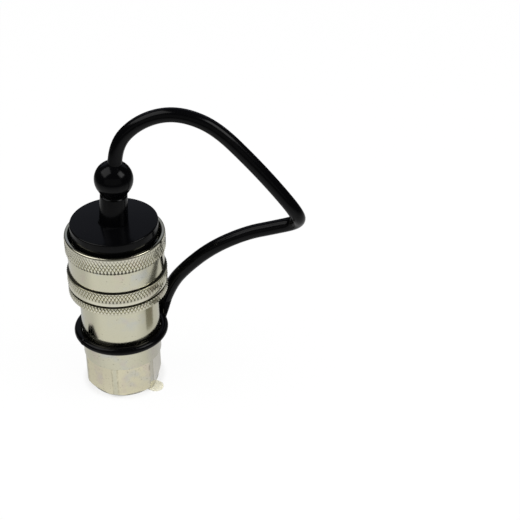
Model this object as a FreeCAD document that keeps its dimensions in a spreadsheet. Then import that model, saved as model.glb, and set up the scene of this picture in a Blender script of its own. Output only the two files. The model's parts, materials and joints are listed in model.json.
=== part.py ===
import FreeCAD, Part

import math
import os

import Sketcher

# Socket half of a flat-poppet hydraulic quick coupler, standing on its thread protector.
# Millimetres, +Z along the axis from the hose port to the socket mouth, z = 0 under the protector.

doc = FreeCAD.newDocument("quick_coupler")
sheet = doc.addObject("Spreadsheet::Sheet", "Sizes")

# Driving dimensions
SIZES = {
    # Thread protector
    "flange_thick": 0.7, "flange_radius": 13.6, "cup_radius": 9.15, "cup_wall": 1.15, "cup_top": 9.0,
    "tab_width": 6.0, "tab_reach": 18.3, "tab_angle": 31.5,
    # Socket body, outside
    "hex_flats": 27.0, "hex_corner_radius": 15.02, "hex_top": 14.4, "hex_turn": 21.5,
    "hex_chamfer": 0.9, "hex_chamfer_rise": 1.0,
    "body_radius": 15.25, "barrel_radius": 14.6, "collar_seat": 43.3, "front_face": 69.4, "front_chamfer": 0.8,
    # Socket body, inside
    "port_radius": 9.3, "port_top": 16.2, "port_chamfer": 1.5, "chamber_radius": 9.2,
    "throat_radius": 7.0, "seat_top": 43.0, "bore_bottom": 44.0, "bore_radius": 10.35,
    "seal_groove_low": 50.6, "seal_groove_high": 55.0, "seal_groove_radius": 12.9,
    # Snap rings
    "guide_ring_low": 17.3, "guide_ring_high": 18.5, "guide_ring_inner": 8.3, "guide_ring_outer": 9.95,
    "sleeve_ring_low": 63.2, "sleeve_ring_high": 64.4, "sleeve_ring_inner": 13.7, "sleeve_ring_outer": 15.8,
    "ring_play": 0.05, "ring_angle": 335.0,
    # Locking balls
    "ball_radius": 2.75, "ball_circle": 12.0, "ball_height": 59.8, "ball_count": 8,
    "pocket_start": 1.26, "pocket_taper": 7.4,
    # Nipple seal and back-up ring
    "seal_radius": 11.45, "seal_section": 1.4, "seal_height": 53.55,
    "backup_inner": 10.45, "backup_outer": 12.85, "backup_low": 50.65, "backup_high": 51.95,
    # Spring collar
    "collar_bore": 14.63, "collar_radius": 16.9, "collar_top": 47.6, "collar_chamfer": 0.4,
    # Locking sleeve
    "sleeve_low": 44.0, "tail_high": 47.5, "skirt_low": 48.35, "groove_low": 54.05, "groove_high": 54.45,
    "band_high": 62.4, "sleeve_high": 69.2, "knurl_radius": 18.85, "groove_radius": 17.95, "band_radius": 18.25,
    "spring_bore": 17.2, "land_low": 57.6, "land_high": 62.5, "land_radius": 14.75, "stop_radius": 15.3,
    "stop_height": 63.1, "release_radius": 16.2, "release_high": 65.6, "mouth_radius": 17.1, "mouth_low": 66.2,
    "rim_chamfer": 0.3, "rim_round": 0.4,
    # Springs
    "sleeve_coil": 16.05, "sleeve_wire": 1.2, "sleeve_turns": 3.2,
    "poppet_coil": 5.6, "poppet_wire": 1.1, "poppet_turns": 6.0,
    # Poppet and its seal
    "poppet_top": 49.0, "nose_radius": 5.6, "nose_round": 1.2, "nose_low": 44.4, "cone_radius": 6.3,
    "seat_gap": 0.2, "head_radius": 8.7, "head_low": 37.5, "stem_radius": 2.9, "stem_low": 17.6,
    "face_seal_radius": 7.6, "face_seal_section": 0.9, "face_seal_height": 41.08, "face_seal_play": 0.05,
    # Poppet guide
    "guide_radius": 9.1, "guide_high": 20.6, "hub_radius": 4.7, "hub_high": 23.5, "hub_bore": 3.0,
    "window_inner": 6.4, "window_outer": 8.3, "window_angle": 100.0, "window_count": 3,
    # Dust plug
    "disc_radius": 16.6, "disc_high": 74.1, "disc_round": 0.6, "spigot_radius": 10.25, "spigot_low": 63.6,
    "nose_outer": 9.0, "nose_end": 56.0, "nose_wall": 2.0, "nose_roof": 65.5,
    "shank_lean": 3.45, "shank_sink": 1.5, "shank_foot": 5.5, "shank_radius": 5.1, "shank_rise": 11.6,
    "waist_radius": 4.55, "waist_rise": 12.0, "lip_radius": 5.0, "lip_rise": 12.5,
    "taper_radius": 6.28, "taper_rise": 14.7, "knob_radius": 7.25, "knob_rise": 18.33,
    "root_radius": 2.85, "root_reach": 7.75,
    # Strap and lanyard ring
    "strap_radius": 2.68, "hoop_radius": 16.9, "hoop_section": 1.38, "hoop_height": 24.33, "hoop_tilt": 2.15,
}


class Size:
    """A number together with the spreadsheet formula that it comes from."""

    def __init__(self, value, formula):
        self.value = value
        self.formula = formula

    def __add__(self, other):
        other = as_size(other)
        return Size(self.value + other.value, f"({self.formula} + {other.formula})")

    def __sub__(self, other):
        other = as_size(other)
        return Size(self.value - other.value, f"({self.formula} - {other.formula})")

    def __mul__(self, other):
        other = as_size(other)
        return Size(self.value * other.value, f"({self.formula} * {other.formula})")

    def __truediv__(self, other):
        other = as_size(other)
        return Size(self.value / other.value, f"({self.formula} / {other.formula})")


def as_size(value):
    return value if isinstance(value, Size) else Size(value, str(value))


class Dimensions:
    """Every driving dimension as an attribute, read from its spreadsheet cell."""


dim = Dimensions()
for row, (alias, number) in enumerate(SIZES.items(), start=1):
    sheet.set(f"A{row}", alias)
    sheet.set(f"B{row}", str(number))
    sheet.setAlias(f"B{row}", alias)
    setattr(dim, alias, Size(number, f"Sizes.{alias}"))
doc.recompute()

AXIS = as_size(0)
FLOOR = as_size(0)
TILT_AXIS = FreeCAD.Vector(-1, 0, 0)


# Helpers for sketches, features and placements
def bind(feature, name, size):
    feature.setExpression(name, as_size(size).formula)


def new_body(label):
    body = doc.addObject("PartDesign::Body", label)
    body.Label = label
    return body


def new_sketch(body, plane, name, height=None):
    sketch = body.newObject("Sketcher::SketchObject", name)
    origin_plane = next(item for item in body.Origin.OriginFeatures if item.Role == plane)
    sketch.AttachmentSupport = [(origin_plane, "")]
    sketch.MapMode = "FlatFace"
    if height is not None:
        bind(sketch, "AttachmentOffset.Base.z", height)
    return sketch


def constrain(sketch, kind, *where, size=None):
    if size is None:
        return sketch.addConstraint(Sketcher.Constraint(kind, *where))
    index = sketch.addConstraint(Sketcher.Constraint(kind, *where, as_size(size).value))
    sketch.setExpression(f"Constraints[{index}]", as_size(size).formula)
    return index


def draw_outline(sketch, points):
    """Draw a closed outline of straight lines whose corners are bound to the sheet."""
    places = [FreeCAD.Vector(across.value, up.value, 0) for across, up in points]
    count = len(points)
    for index in range(count):
        sketch.addGeometry(Part.LineSegment(places[index], places[(index + 1) % count]))
    for index, (across, up) in enumerate(points):
        constrain(sketch, "Coincident", index, 2, (index + 1) % count, 1)
        if across.value == 0:
            constrain(sketch, "PointOnObject", index, 1, -2)
        else:
            constrain(sketch, "DistanceX", -1, 1, index, 1, size=across)
        if up.value == 0:
            constrain(sketch, "PointOnObject", index, 1, -1)
        else:
            constrain(sketch, "DistanceY", -1, 1, index, 1, size=up)


def draw_circle(sketch, across, up, radius):
    centre = FreeCAD.Vector(across.value, up.value, 0)
    circle = sketch.addGeometry(Part.Circle(centre, FreeCAD.Vector(0, 0, 1), radius.value))
    if across.value == 0:
        constrain(sketch, "PointOnObject", circle, 3, -2)
    else:
        constrain(sketch, "DistanceX", -1, 1, circle, 3, size=across)
    constrain(sketch, "DistanceY", -1, 1, circle, 3, size=up)
    constrain(sketch, "Radius", circle, size=radius)


def turned(label, outline, angle=360):
    """A piece turned on a lathe: an outline of (radius, height) corners about the Z axis."""
    body = new_body(label)
    sketch = new_sketch(body, "XZ_Plane", label + "_outline")
    draw_outline(sketch, outline)
    turn = body.newObject("PartDesign::Revolution", label + "_turning")
    turn.Profile = sketch
    turn.ReferenceAxis = (sketch, ["V_Axis"])
    bind(turn, "Angle", angle)
    sketch.Visibility = False
    doc.recompute()
    return body


def circle_edges(shape, circles):
    """Names of the circular edges about Z that have one of the (radius, height) sizes."""
    names = []
    for number, edge in enumerate(shape.Edges, start=1):
        if not isinstance(edge.Curve, Part.Circle):
            continue
        for radius, height in circles:
            same_radius = abs(edge.Curve.Radius - radius.value) < 0.01
            same_height = abs(edge.Curve.Center.z - height.value) < 0.01
            if same_radius and same_height:
                names.append(f"Edge{number}")
    return names


def round_circles(body, radius, *circles):
    """Round the turned edges given as (radius, height)."""
    base = body.Tip
    rounding = body.newObject("PartDesign::Fillet", f"{body.Name}_round")
    rounding.Base = (base, circle_edges(base.Shape, circles))
    bind(rounding, "Radius", radius)
    doc.recompute()


def pocket(body, sketch, length, taper=None, backwards=False):
    cut = body.newObject("PartDesign::Pocket", sketch.Name + "_cut")
    cut.Profile = sketch
    bind(cut, "Length", length)
    if taper is not None:
        bind(cut, "TaperAngle", taper)
    cut.Reversed = backwards
    sketch.Visibility = False
    doc.recompute()
    return cut


def repeat_round(body, feature, count):
    """Repeat a feature round the Z axis."""
    z_axis = next(item for item in body.Origin.OriginFeatures if item.Role == "Z_Axis")
    pattern = body.newObject("PartDesign::PolarPattern", feature.Name + "_round")
    pattern.Originals = [feature]
    pattern.Axis = (z_axis, [""])
    pattern.Angle = 360
    bind(pattern, "Occurrences", count)
    body.Tip = pattern
    doc.recompute()


def ring_section(inner, outer, low, high):
    return [(inner, low), (outer, low), (outer, high), (inner, high)]


def torus(label, radius, section, height, tilt=None):
    ring = doc.addObject("Part::Torus", label)
    ring.Label = label
    if tilt is not None:
        ring.Placement.Rotation = FreeCAD.Rotation(TILT_AXIS, tilt.value)
        bind(ring, "Placement.Rotation.Angle", tilt)
    bind(ring, "Radius1", radius)
    bind(ring, "Radius2", section)
    bind(ring, "Placement.Base.z", height)
    return ring


# Socket body: one turned piece, with the hexagon and the ball pockets cut into it
def make_socket_body():
    hex_low = dim.flange_thick
    seat_low = dim.seat_top - (dim.chamber_radius - dim.throat_radius)
    guide_groove = dim.guide_ring_outer + dim.ring_play
    sleeve_groove = dim.sleeve_ring_inner - dim.ring_play
    body = turned("socket_body", [
        (dim.port_radius + dim.port_chamfer, hex_low),
        (dim.hex_corner_radius - dim.hex_chamfer, hex_low),
        (dim.hex_corner_radius, hex_low + dim.hex_chamfer_rise),
        (dim.hex_corner_radius, dim.hex_top),
        (dim.body_radius, dim.hex_top),
        (dim.body_radius, dim.collar_seat),
        (dim.barrel_radius, dim.collar_seat),
        (dim.barrel_radius, dim.sleeve_ring_low - dim.ring_play),
        (sleeve_groove, dim.sleeve_ring_low - dim.ring_play),
        (sleeve_groove, dim.sleeve_ring_high + dim.ring_play),
        (dim.barrel_radius, dim.sleeve_ring_high + dim.ring_play),
        (dim.barrel_radius, dim.front_face - dim.front_chamfer),
        (dim.barrel_radius - dim.front_chamfer, dim.front_face),
        (dim.bore_radius, dim.front_face),
        (dim.bore_radius, dim.seal_groove_high),
        (dim.seal_groove_radius, dim.seal_groove_high),
        (dim.seal_groove_radius, dim.seal_groove_low),
        (dim.bore_radius, dim.seal_groove_low),
        (dim.bore_radius, dim.bore_bottom),
        (dim.throat_radius, dim.bore_bottom),
        (dim.throat_radius, dim.seat_top),
        (dim.chamber_radius, seat_low),
        (dim.chamber_radius, dim.guide_ring_high),
        (guide_groove, dim.guide_ring_high),
        (guide_groove, dim.guide_ring_low),
        (dim.chamber_radius, dim.guide_ring_low),
        (dim.chamber_radius, dim.port_top),
        (dim.port_radius, dim.port_top),
        (dim.port_radius, hex_low + dim.port_chamfer),
    ])
    hexagon = new_sketch(body, "XY_Plane", "hexagon", hex_low)
    draw_hexagon(hexagon)
    pocket(body, hexagon, dim.hex_top - hex_low, backwards=True)
    ball_pocket = new_sketch(body, "YZ_Plane", "ball_pocket")
    draw_circle(ball_pocket, AXIS, dim.ball_height, dim.pocket_start)
    hole = pocket(body, ball_pocket, dim.body_radius, taper=dim.pocket_taper, backwards=True)
    repeat_round(body, hole, dim.ball_count)
    return body


def draw_hexagon(sketch):
    """Everything outside the hexagon: its six flats inside a circle that clears the body."""
    flat_half = dim.hex_flats / (2 * math.cos(math.pi / 6))
    first_corner = math.radians(dim.hex_turn.value - 60)
    corners = []
    for step in range(6):
        angle = first_corner + step * math.pi / 3
        corners.append(FreeCAD.Vector(math.cos(angle), math.sin(angle), 0) * flat_half.value)
    for step in range(6):
        sketch.addGeometry(Part.LineSegment(corners[step], corners[(step + 1) % 6]))
    guide = sketch.addGeometry(Part.Circle(FreeCAD.Vector(), FreeCAD.Vector(0, 0, 1), flat_half.value), True)
    constrain(sketch, "Coincident", guide, 3, -1, 1)
    constrain(sketch, "Radius", guide, size=flat_half)
    for step in range(6):
        constrain(sketch, "Coincident", step, 2, (step + 1) % 6, 1)
        constrain(sketch, "PointOnObject", step, 1, guide)
        if step:
            constrain(sketch, "Equal", 0, step)
    constrain(sketch, "DistanceX", -1, 1, 0, 1, size=flat_half * math.cos(first_corner))
    clear = sketch.addGeometry(Part.Circle(FreeCAD.Vector(), FreeCAD.Vector(0, 0, 1), dim.knurl_radius.value))
    constrain(sketch, "Coincident", clear, 3, -1, 1)
    constrain(sketch, "Radius", clear, size=dim.knurl_radius)


# Locking balls, one in each tapered pocket
def make_locking_balls():
    balls = []
    for number in range(int(dim.ball_count.value)):
        ball = doc.addObject("Part::Sphere", f"locking_ball_{number + 1}")
        ball.Label = f"locking_ball_{number + 1}"
        bind(ball, "Radius", dim.ball_radius)
        turn = f"{number} * 360 deg / {dim.ball_count.formula}"
        ball.setExpression("Placement.Base.x", f"{dim.ball_circle.formula} * cos({turn})")
        ball.setExpression("Placement.Base.y", f"{dim.ball_circle.formula} * sin({turn})")
        bind(ball, "Placement.Base.z", dim.ball_height)
        balls.append(ball)
    return balls


# Locking sleeve: knurled bands and grooves outside; spring chamber, ball land and mouth inside
def make_locking_sleeve():
    body = turned("locking_sleeve", [
        (dim.spring_bore, dim.sleeve_low),
        (dim.knurl_radius, dim.sleeve_low),
        (dim.knurl_radius, dim.tail_high),
        (dim.groove_radius, dim.tail_high),
        (dim.groove_radius, dim.skirt_low),
        (dim.knurl_radius, dim.skirt_low),
        (dim.knurl_radius, dim.groove_low),
        (dim.groove_radius, dim.groove_low),
        (dim.groove_radius, dim.groove_high),
        (dim.band_radius, dim.groove_high),
        (dim.band_radius, dim.band_high),
        (dim.knurl_radius, dim.band_high),
        (dim.knurl_radius, dim.sleeve_high),
        (dim.mouth_radius + dim.rim_chamfer, dim.sleeve_high),
        (dim.mouth_radius, dim.sleeve_high - dim.rim_chamfer),
        (dim.mouth_radius, dim.mouth_low),
        (dim.release_radius, dim.release_high),
        (dim.release_radius, dim.stop_height),
        (dim.stop_radius, dim.stop_height),
        (dim.land_radius, dim.land_high),
        (dim.land_radius, dim.land_low),
        (dim.spring_bore, dim.land_low),
    ])
    round_circles(body, dim.rim_round, (dim.knurl_radius, dim.sleeve_high))
    return body


# Spring collar: the ring on the body's shoulder, inside the sleeve, that carries the sleeve spring
def make_spring_collar():
    edge = dim.collar_chamfer
    return turned("spring_collar", [
        (dim.collar_bore, dim.collar_seat),
        (dim.collar_radius - edge, dim.collar_seat),
        (dim.collar_radius, dim.collar_seat + edge),
        (dim.collar_radius, dim.collar_top - edge),
        (dim.collar_radius - edge, dim.collar_top),
        (dim.collar_bore, dim.collar_top),
    ])


# Coil springs, each just touching the two faces that it pushes apart
def make_spring(label, coil, wire, turns, low, high):
    first = low + wire / 2
    rise = high - low - wire
    helix = doc.addObject("Part::Helix", label + "_line")
    bind(helix, "Pitch", rise / turns)
    bind(helix, "Height", rise)
    bind(helix, "Radius", coil)
    bind(helix, "Placement.Base.z", first)
    section = doc.addObject("Part::Circle", label + "_wire")
    bind(section, "Radius", wire / 2)
    section.Placement.Rotation = FreeCAD.Rotation(FreeCAD.Vector(1, 0, 0), 90)
    bind(section, "Placement.Base.x", coil)
    bind(section, "Placement.Base.z", first)
    spring = doc.addObject("Part::Sweep", label)
    spring.Label = label
    spring.Sections = [section]
    spring.Spine = (helix, [])
    spring.Solid = True
    spring.Frenet = True
    doc.recompute()
    return spring


# Poppet: rounded nose, conical sealing head with a groove for its ring, and a stem
def make_poppet():
    cone_sum = dim.seat_top + dim.throat_radius - dim.seat_gap * math.sqrt(2)
    body = turned("poppet", [
        (AXIS, dim.stem_low),
        (dim.stem_radius, dim.stem_low),
        (dim.stem_radius, dim.head_low),
        (dim.head_radius, dim.head_low),
        (dim.head_radius, cone_sum - dim.head_radius),
        (dim.cone_radius, cone_sum - dim.cone_radius),
        (dim.nose_radius, dim.nose_low),
        (dim.nose_radius, dim.poppet_top),
        (AXIS, dim.poppet_top),
    ])
    round_circles(body, dim.nose_round, (dim.nose_radius, dim.poppet_top))
    section = new_sketch(body, "XZ_Plane", "face_seal_section")
    draw_circle(section, dim.face_seal_radius, dim.face_seal_height, dim.face_seal_section + dim.face_seal_play)
    groove = body.newObject("PartDesign::Groove", "face_seal_groove")
    groove.Profile = section
    groove.ReferenceAxis = (section, ["V_Axis"])
    groove.Angle = 360
    doc.recompute()
    return body


# Poppet guide: a disc with flow windows round a long hub
def make_poppet_guide():
    body = turned("poppet_guide", [
        (dim.hub_bore, dim.guide_ring_high),
        (dim.guide_radius, dim.guide_ring_high),
        (dim.guide_radius, dim.guide_high),
        (dim.hub_radius, dim.guide_high),
        (dim.hub_radius, dim.hub_high),
        (dim.hub_bore, dim.hub_high),
    ])
    window = new_sketch(body, "XY_Plane", "flow_window", dim.guide_ring_high)
    half = math.radians(dim.window_angle.value) / 2
    up = FreeCAD.Vector(0, 0, 1)
    rims = []
    for radius in (dim.window_inner, dim.window_outer):
        circle = Part.Circle(FreeCAD.Vector(), up, radius.value)
        rims.append(window.addGeometry(Part.ArcOfCircle(circle, -half, half)))
    ends = []
    for angle in (-half, half):
        ray = FreeCAD.Vector(math.cos(angle), math.sin(angle), 0)
        inner = ray * dim.window_inner.value
        outer = ray * dim.window_outer.value
        ends.append(window.addGeometry(Part.LineSegment(inner, outer)))
    for rim, radius in zip(rims, (dim.window_inner, dim.window_outer)):
        constrain(window, "Coincident", rim, 3, -1, 1)
        constrain(window, "Radius", rim, size=radius)
    for end, arc_end in zip(ends, (1, 2)):
        constrain(window, "Coincident", end, 1, rims[0], arc_end)
        constrain(window, "Coincident", end, 2, rims[1], arc_end)
    for end, angle, side in zip(ends, (-half, half), (-0.5, 0.5)):
        index = window.addConstraint(Sketcher.Constraint("Angle", end, angle))
        window.setExpression(f"Constraints[{index}]", f"{dim.window_angle.formula} * {side} deg")
    opening = pocket(body, window, dim.guide_high - dim.guide_ring_high, backwards=True)
    repeat_round(body, opening, dim.window_count)
    return body


# Strap: a round cord from the plug's ball end, over in an arch, folded back and down to the ring
STRAP_ROUTE = [
    FreeCAD.Vector(2.9, 0, 107.2),
    FreeCAD.Vector(10.0, -0.4, 115.4),
    FreeCAD.Vector(19.6, -1.2, 120.0),
    FreeCAD.Vector(29.2, -2.0, 119.8),
    FreeCAD.Vector(39.5, -2.8, 114.8),
    FreeCAD.Vector(51.0, -3.5, 102.3),
    FreeCAD.Vector(60.3, -4.0, 91.0),
    FreeCAD.Vector(68.6, -4.0, 79.4),
    FreeCAD.Vector(69.0, 2.8, 71.6),
    FreeCAD.Vector(59.5, 4.3, 68.2),
    FreeCAD.Vector(49.2, 5.5, 65.0),
    FreeCAD.Vector(36.0, 7.2, 57.1),
    FreeCAD.Vector(25.4, 9.3, 46.1),
    FreeCAD.Vector(19.5, 10.8, 37.4),
    FreeCAD.Vector(17.0, 11.2, 30.4),
]
SHANK_FOOT = FreeCAD.Vector(0, 0, dim.disc_high.value)
SHANK_WAY = FreeCAD.Rotation(FreeCAD.Vector(0, 1, 0), dim.shank_lean.value).multVec(FreeCAD.Vector(0, 0, 1))
KNOB_CENTRE = SHANK_FOOT + SHANK_WAY * dim.knob_rise.value
STRAP_WAY = (STRAP_ROUTE[0] - KNOB_CENTRE).normalize()
STRAP_ROUTE.insert(0, KNOB_CENTRE + STRAP_WAY * dim.root_reach.value)
BEND_SHARE = 0.45


def rounded_path(points):
    """Straight runs joined by tangent arcs, each arc as large as its two runs allow."""
    edges = []
    start = points[0]
    for before, corner, after in zip(points, points[1:], points[2:]):
        arriving = (corner - before).normalize()
        leaving = (after - corner).normalize()
        turn = arriving.getAngle(leaving)
        reach = BEND_SHARE * min((corner - before).Length, (after - corner).Length)
        radius = reach / math.tan(turn / 2)
        inward = (leaving - arriving).normalize()
        middle = corner + inward * (radius / math.cos(turn / 2) - radius)
        bend_start = corner - arriving * reach
        bend_end = corner + leaving * reach
        edges.append(Part.LineSegment(start, bend_start).toShape())
        edges.append(Part.Arc(bend_start, middle, bend_end).toShape())
        print(f"strap bend: radius {radius:.1f}, turn {math.degrees(turn):.0f} degrees")
        start = bend_end
    edges.append(Part.LineSegment(start, points[-1]).toShape())
    return Part.Wire(edges)


def make_strap():
    path = rounded_path(STRAP_ROUTE)
    along = STRAP_ROUTE[1] - STRAP_ROUTE[0]
    radius = float(sheet.get("strap_radius"))
    section = Part.Wire(Part.makeCircle(radius, STRAP_ROUTE[0], along))
    strap = doc.addObject("Part::Feature", "strap")
    strap.Label = "strap"
    strap.Shape = path.makePipeShell([section], True, False)
    ratio = strap.Shape.Volume / (math.pi * radius ** 2 * path.Length)
    print(f"strap: length {path.Length:.1f}, volume over section times length {ratio:.4f}")
    return strap


# Dust plug: nose, spigot and disc in the socket, then the leaning shank with its ball end and strap root
def make_dust_plug():
    disc_low = dim.front_face
    body = turned("dust_plug", [
        (dim.nose_outer - dim.nose_wall, dim.nose_end),
        (dim.nose_outer, dim.nose_end),
        (dim.nose_outer, dim.spigot_low),
        (dim.spigot_radius, dim.spigot_low),
        (dim.spigot_radius, disc_low),
        (dim.disc_radius, disc_low),
        (dim.disc_radius, dim.disc_high),
        (AXIS, dim.disc_high),
        (AXIS, dim.nose_roof),
        (dim.nose_outer - dim.nose_wall, dim.nose_roof),
    ])
    round_circles(body, dim.disc_round, (dim.disc_radius, disc_low), (dim.disc_radius, dim.disc_high))
    add_shank(body)
    knob = body.newObject("PartDesign::AdditiveSphere", "ball_end")
    bind(knob, "Radius", dim.knob_radius)
    root = body.newObject("PartDesign::AdditiveCylinder", "strap_root")
    bind(root, "Radius", dim.root_radius)
    bind(root, "Height", dim.root_reach)
    root.Placement.Rotation = FreeCAD.Rotation(FreeCAD.Vector(0, 0, 1), STRAP_WAY)
    for feature in (knob, root):
        feature.setExpression("Placement.Base.x", "Sizes.knob_rise * sin(Sizes.shank_lean * 1 deg)")
        feature.setExpression("Placement.Base.z",
                              "Sizes.disc_high + Sizes.knob_rise * cos(Sizes.shank_lean * 1 deg)")
    doc.recompute()
    return body


def add_shank(body):
    """Turn the shank about an axis that leans sideways from the middle of the disc."""
    sketch = new_sketch(body, "XZ_Plane", "shank_outline")
    lean = FreeCAD.Rotation(FreeCAD.Vector(0, 0, -1), dim.shank_lean.value)
    sketch.AttachmentOffset = FreeCAD.Placement(FreeCAD.Vector(0, dim.disc_high.value, 0), lean)
    bind(sketch, "AttachmentOffset.Rotation.Angle", dim.shank_lean)
    bind(sketch, "AttachmentOffset.Base.y", dim.disc_high)
    draw_outline(sketch, [
        (AXIS, FLOOR - dim.shank_sink),
        (dim.shank_foot, FLOOR - dim.shank_sink),
        (dim.shank_radius, dim.shank_rise),
        (dim.waist_radius, dim.waist_rise),
        (dim.lip_radius, dim.lip_rise),
        (dim.taper_radius, dim.taper_rise),
        (AXIS, dim.knob_rise),
    ])
    shank = body.newObject("PartDesign::Revolution", "shank_turning")
    shank.Profile = sketch
    shank.ReferenceAxis = (sketch, ["V_Axis"])
    shank.Angle = 360
    sketch.Visibility = False
    doc.recompute()


# Lanyard ring: a round hoop, loose on the body and a little higher in front, with a flared root for the strap
def make_lanyard_ring():
    ring = doc.addObject("Part::Fuse", "lanyard_ring")
    ring.Label = "lanyard_ring"
    ring.Base = torus("hoop", dim.hoop_radius, dim.hoop_section, dim.hoop_height, dim.hoop_tilt)
    ring.Tool = make_strap_root()
    doc.recompute()
    return ring


# Flare of the strap root: (share of the way out, half width, half thickness), then how steeply it leaves
# the hoop and how far it bulges outwards halfway
ROOT_SECTIONS = [(0.0, 5.2, 1.5), (0.42, 3.5, 2.1), (1.0, None, None)]
ROOT_RISE = 0.6
ROOT_BULGE = 0.8


def make_strap_root():
    """Loft from a wide flat oval in the hoop to the round end of the strap."""
    strap_end = STRAP_ROUTE[-1]
    strap_up = (STRAP_ROUTE[-2] - strap_end).normalize()
    outward = FreeCAD.Vector(strap_end.x, strap_end.y, 0).normalize()
    tilt = FreeCAD.Rotation(TILT_AXIS, dim.hoop_tilt.value)
    start = tilt.multVec(outward * dim.hoop_radius.value) + FreeCAD.Vector(0, 0, dim.hoop_height.value)
    start_way = (outward + FreeCAD.Vector(0, 0, ROOT_RISE)).normalize()
    sections = []
    for share, half_width, half_thick in ROOT_SECTIONS:
        way = (start_way * (1 - share) + strap_up * share).normalize()
        bulge = outward * (4 * share * (1 - share) * ROOT_BULGE)
        place = start * (1 - share) + strap_end * share + bulge
        side = FreeCAD.Vector(0, 0, 1).cross(outward)
        oval = doc.addObject("Part::Ellipse", "root_section")
        bind(oval, "MajorRadius", dim.strap_radius if half_width is None else half_width)
        bind(oval, "MinorRadius", dim.strap_radius if half_thick is None else half_thick)
        oval.Placement = FreeCAD.Placement(place, FreeCAD.Rotation(side, FreeCAD.Vector(), way, "ZXY"))
        sections.append(oval)
    flare = doc.addObject("Part::Loft", "strap_flare")
    flare.Sections = sections
    flare.Solid = True
    flare.Ruled = False
    doc.recompute()
    return flare


# Thread protector: a thin cup in the port, a flange under the hexagon and a pull tab
def make_thread_protector():
    cup_bore = dim.cup_radius - dim.cup_wall
    body = turned("thread_protector", [
        (cup_bore, FLOOR),
        (dim.flange_radius, FLOOR),
        (dim.flange_radius, dim.flange_thick),
        (dim.cup_radius, dim.flange_thick),
        (dim.cup_radius, dim.cup_top),
        (AXIS, dim.cup_top),
        (AXIS, dim.cup_top - dim.cup_wall),
        (cup_bore, dim.cup_top - dim.cup_wall),
    ])
    tab = new_sketch(body, "XY_Plane", "pull_tab")
    turn = FreeCAD.Rotation(FreeCAD.Vector(0, 0, -1), dim.tab_angle.value)
    tab.AttachmentOffset = FreeCAD.Placement(FreeCAD.Vector(), turn)
    bind(tab, "AttachmentOffset.Rotation.Angle", dim.tab_angle)
    half_width = dim.tab_width / 2
    inner = (dim.cup_radius + dim.flange_radius) / 2
    outer = dim.tab_reach - half_width
    low, high = -half_width.value, half_width.value
    tab.addGeometry(Part.LineSegment(FreeCAD.Vector(inner.value, low, 0), FreeCAD.Vector(outer.value, low, 0)))
    tip = Part.Circle(FreeCAD.Vector(outer.value, 0, 0), FreeCAD.Vector(0, 0, 1), half_width.value)
    tab.addGeometry(Part.ArcOfCircle(tip, -math.pi / 2, math.pi / 2))
    tab.addGeometry(Part.LineSegment(FreeCAD.Vector(outer.value, high, 0), FreeCAD.Vector(inner.value, high, 0)))
    tab.addGeometry(Part.LineSegment(FreeCAD.Vector(inner.value, high, 0), FreeCAD.Vector(inner.value, low, 0)))
    constrain(tab, "Tangent", 0, 2, 1, 1)
    constrain(tab, "Tangent", 1, 2, 2, 1)
    constrain(tab, "Coincident", 2, 2, 3, 1)
    constrain(tab, "Coincident", 3, 2, 0, 1)
    constrain(tab, "Vertical", 3)
    constrain(tab, "PointOnObject", 1, 3, -1)
    constrain(tab, "Radius", 1, size=half_width)
    constrain(tab, "DistanceX", -1, 1, 1, 3, size=outer)
    constrain(tab, "DistanceX", -1, 1, 3, 1, size=inner)
    pad = body.newObject("PartDesign::Pad", "pull_tab_pad")
    pad.Profile = tab
    bind(pad, "Length", dim.flange_thick)
    doc.recompute()
    return body


# Assembly
pieces = [
    make_socket_body(),
    make_locking_sleeve(),
    make_spring_collar(),
    turned("sleeve_snap_ring", ring_section(dim.sleeve_ring_inner, dim.sleeve_ring_outer,
                                            dim.sleeve_ring_low, dim.sleeve_ring_high), dim.ring_angle),
    torus("nipple_seal", dim.seal_radius, dim.seal_section, dim.seal_height),
    turned("backup_ring", ring_section(dim.backup_inner, dim.backup_outer, dim.backup_low, dim.backup_high)),
    make_spring("sleeve_spring", dim.sleeve_coil, dim.sleeve_wire, dim.sleeve_turns,
                dim.collar_top, dim.land_low),
    make_poppet(),
    torus("poppet_seal", dim.face_seal_radius, dim.face_seal_section, dim.face_seal_height),
    make_poppet_guide(),
    make_spring("poppet_spring", dim.poppet_coil, dim.poppet_wire, dim.poppet_turns,
                dim.guide_high, dim.head_low),
    turned("guide_snap_ring", ring_section(dim.guide_ring_inner, dim.guide_ring_outer,
                                           dim.guide_ring_low, dim.guide_ring_high), dim.ring_angle),
    make_dust_plug(),
    make_strap(),
    make_lanyard_ring(),
    make_thread_protector(),
]
pieces.extend(make_locking_balls())
doc.recompute()

failed = [item.Name for item in doc.Objects if "Invalid" in item.State or "Error" in item.State]
for piece in pieces:
    if piece.Shape.isNull() or not piece.Shape.isValid():
        failed.append(piece.Label)
if failed:
    raise RuntimeError("not built: " + ", ".join(failed))

os.makedirs("parts", exist_ok=True)
for piece in pieces:
    box = piece.Shape.BoundBox
    print(f"{piece.Label}: {len(piece.Shape.Solids)} solid, volume {piece.Shape.Volume:.0f},"
          f" z {box.ZMin:.2f} to {box.ZMax:.2f}")
    piece.Shape.exportStep(f"parts/{piece.Label}.step")
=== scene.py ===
# %% [markdown]
# # A hydraulic quick coupler
#
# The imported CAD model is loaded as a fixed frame, in metres. Everything below dresses it: the turned
# steel pieces get their knurls, softened edges and zinc plating, and the black dust plug, its strap and
# the lanyard ring get the soft forms of moulded vinyl. The coupler's axis is Z, and it stands on z = 0.

# %% Load the frame
import json
import math

import bmesh
import bpy
from mathutils import Matrix, Vector

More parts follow.
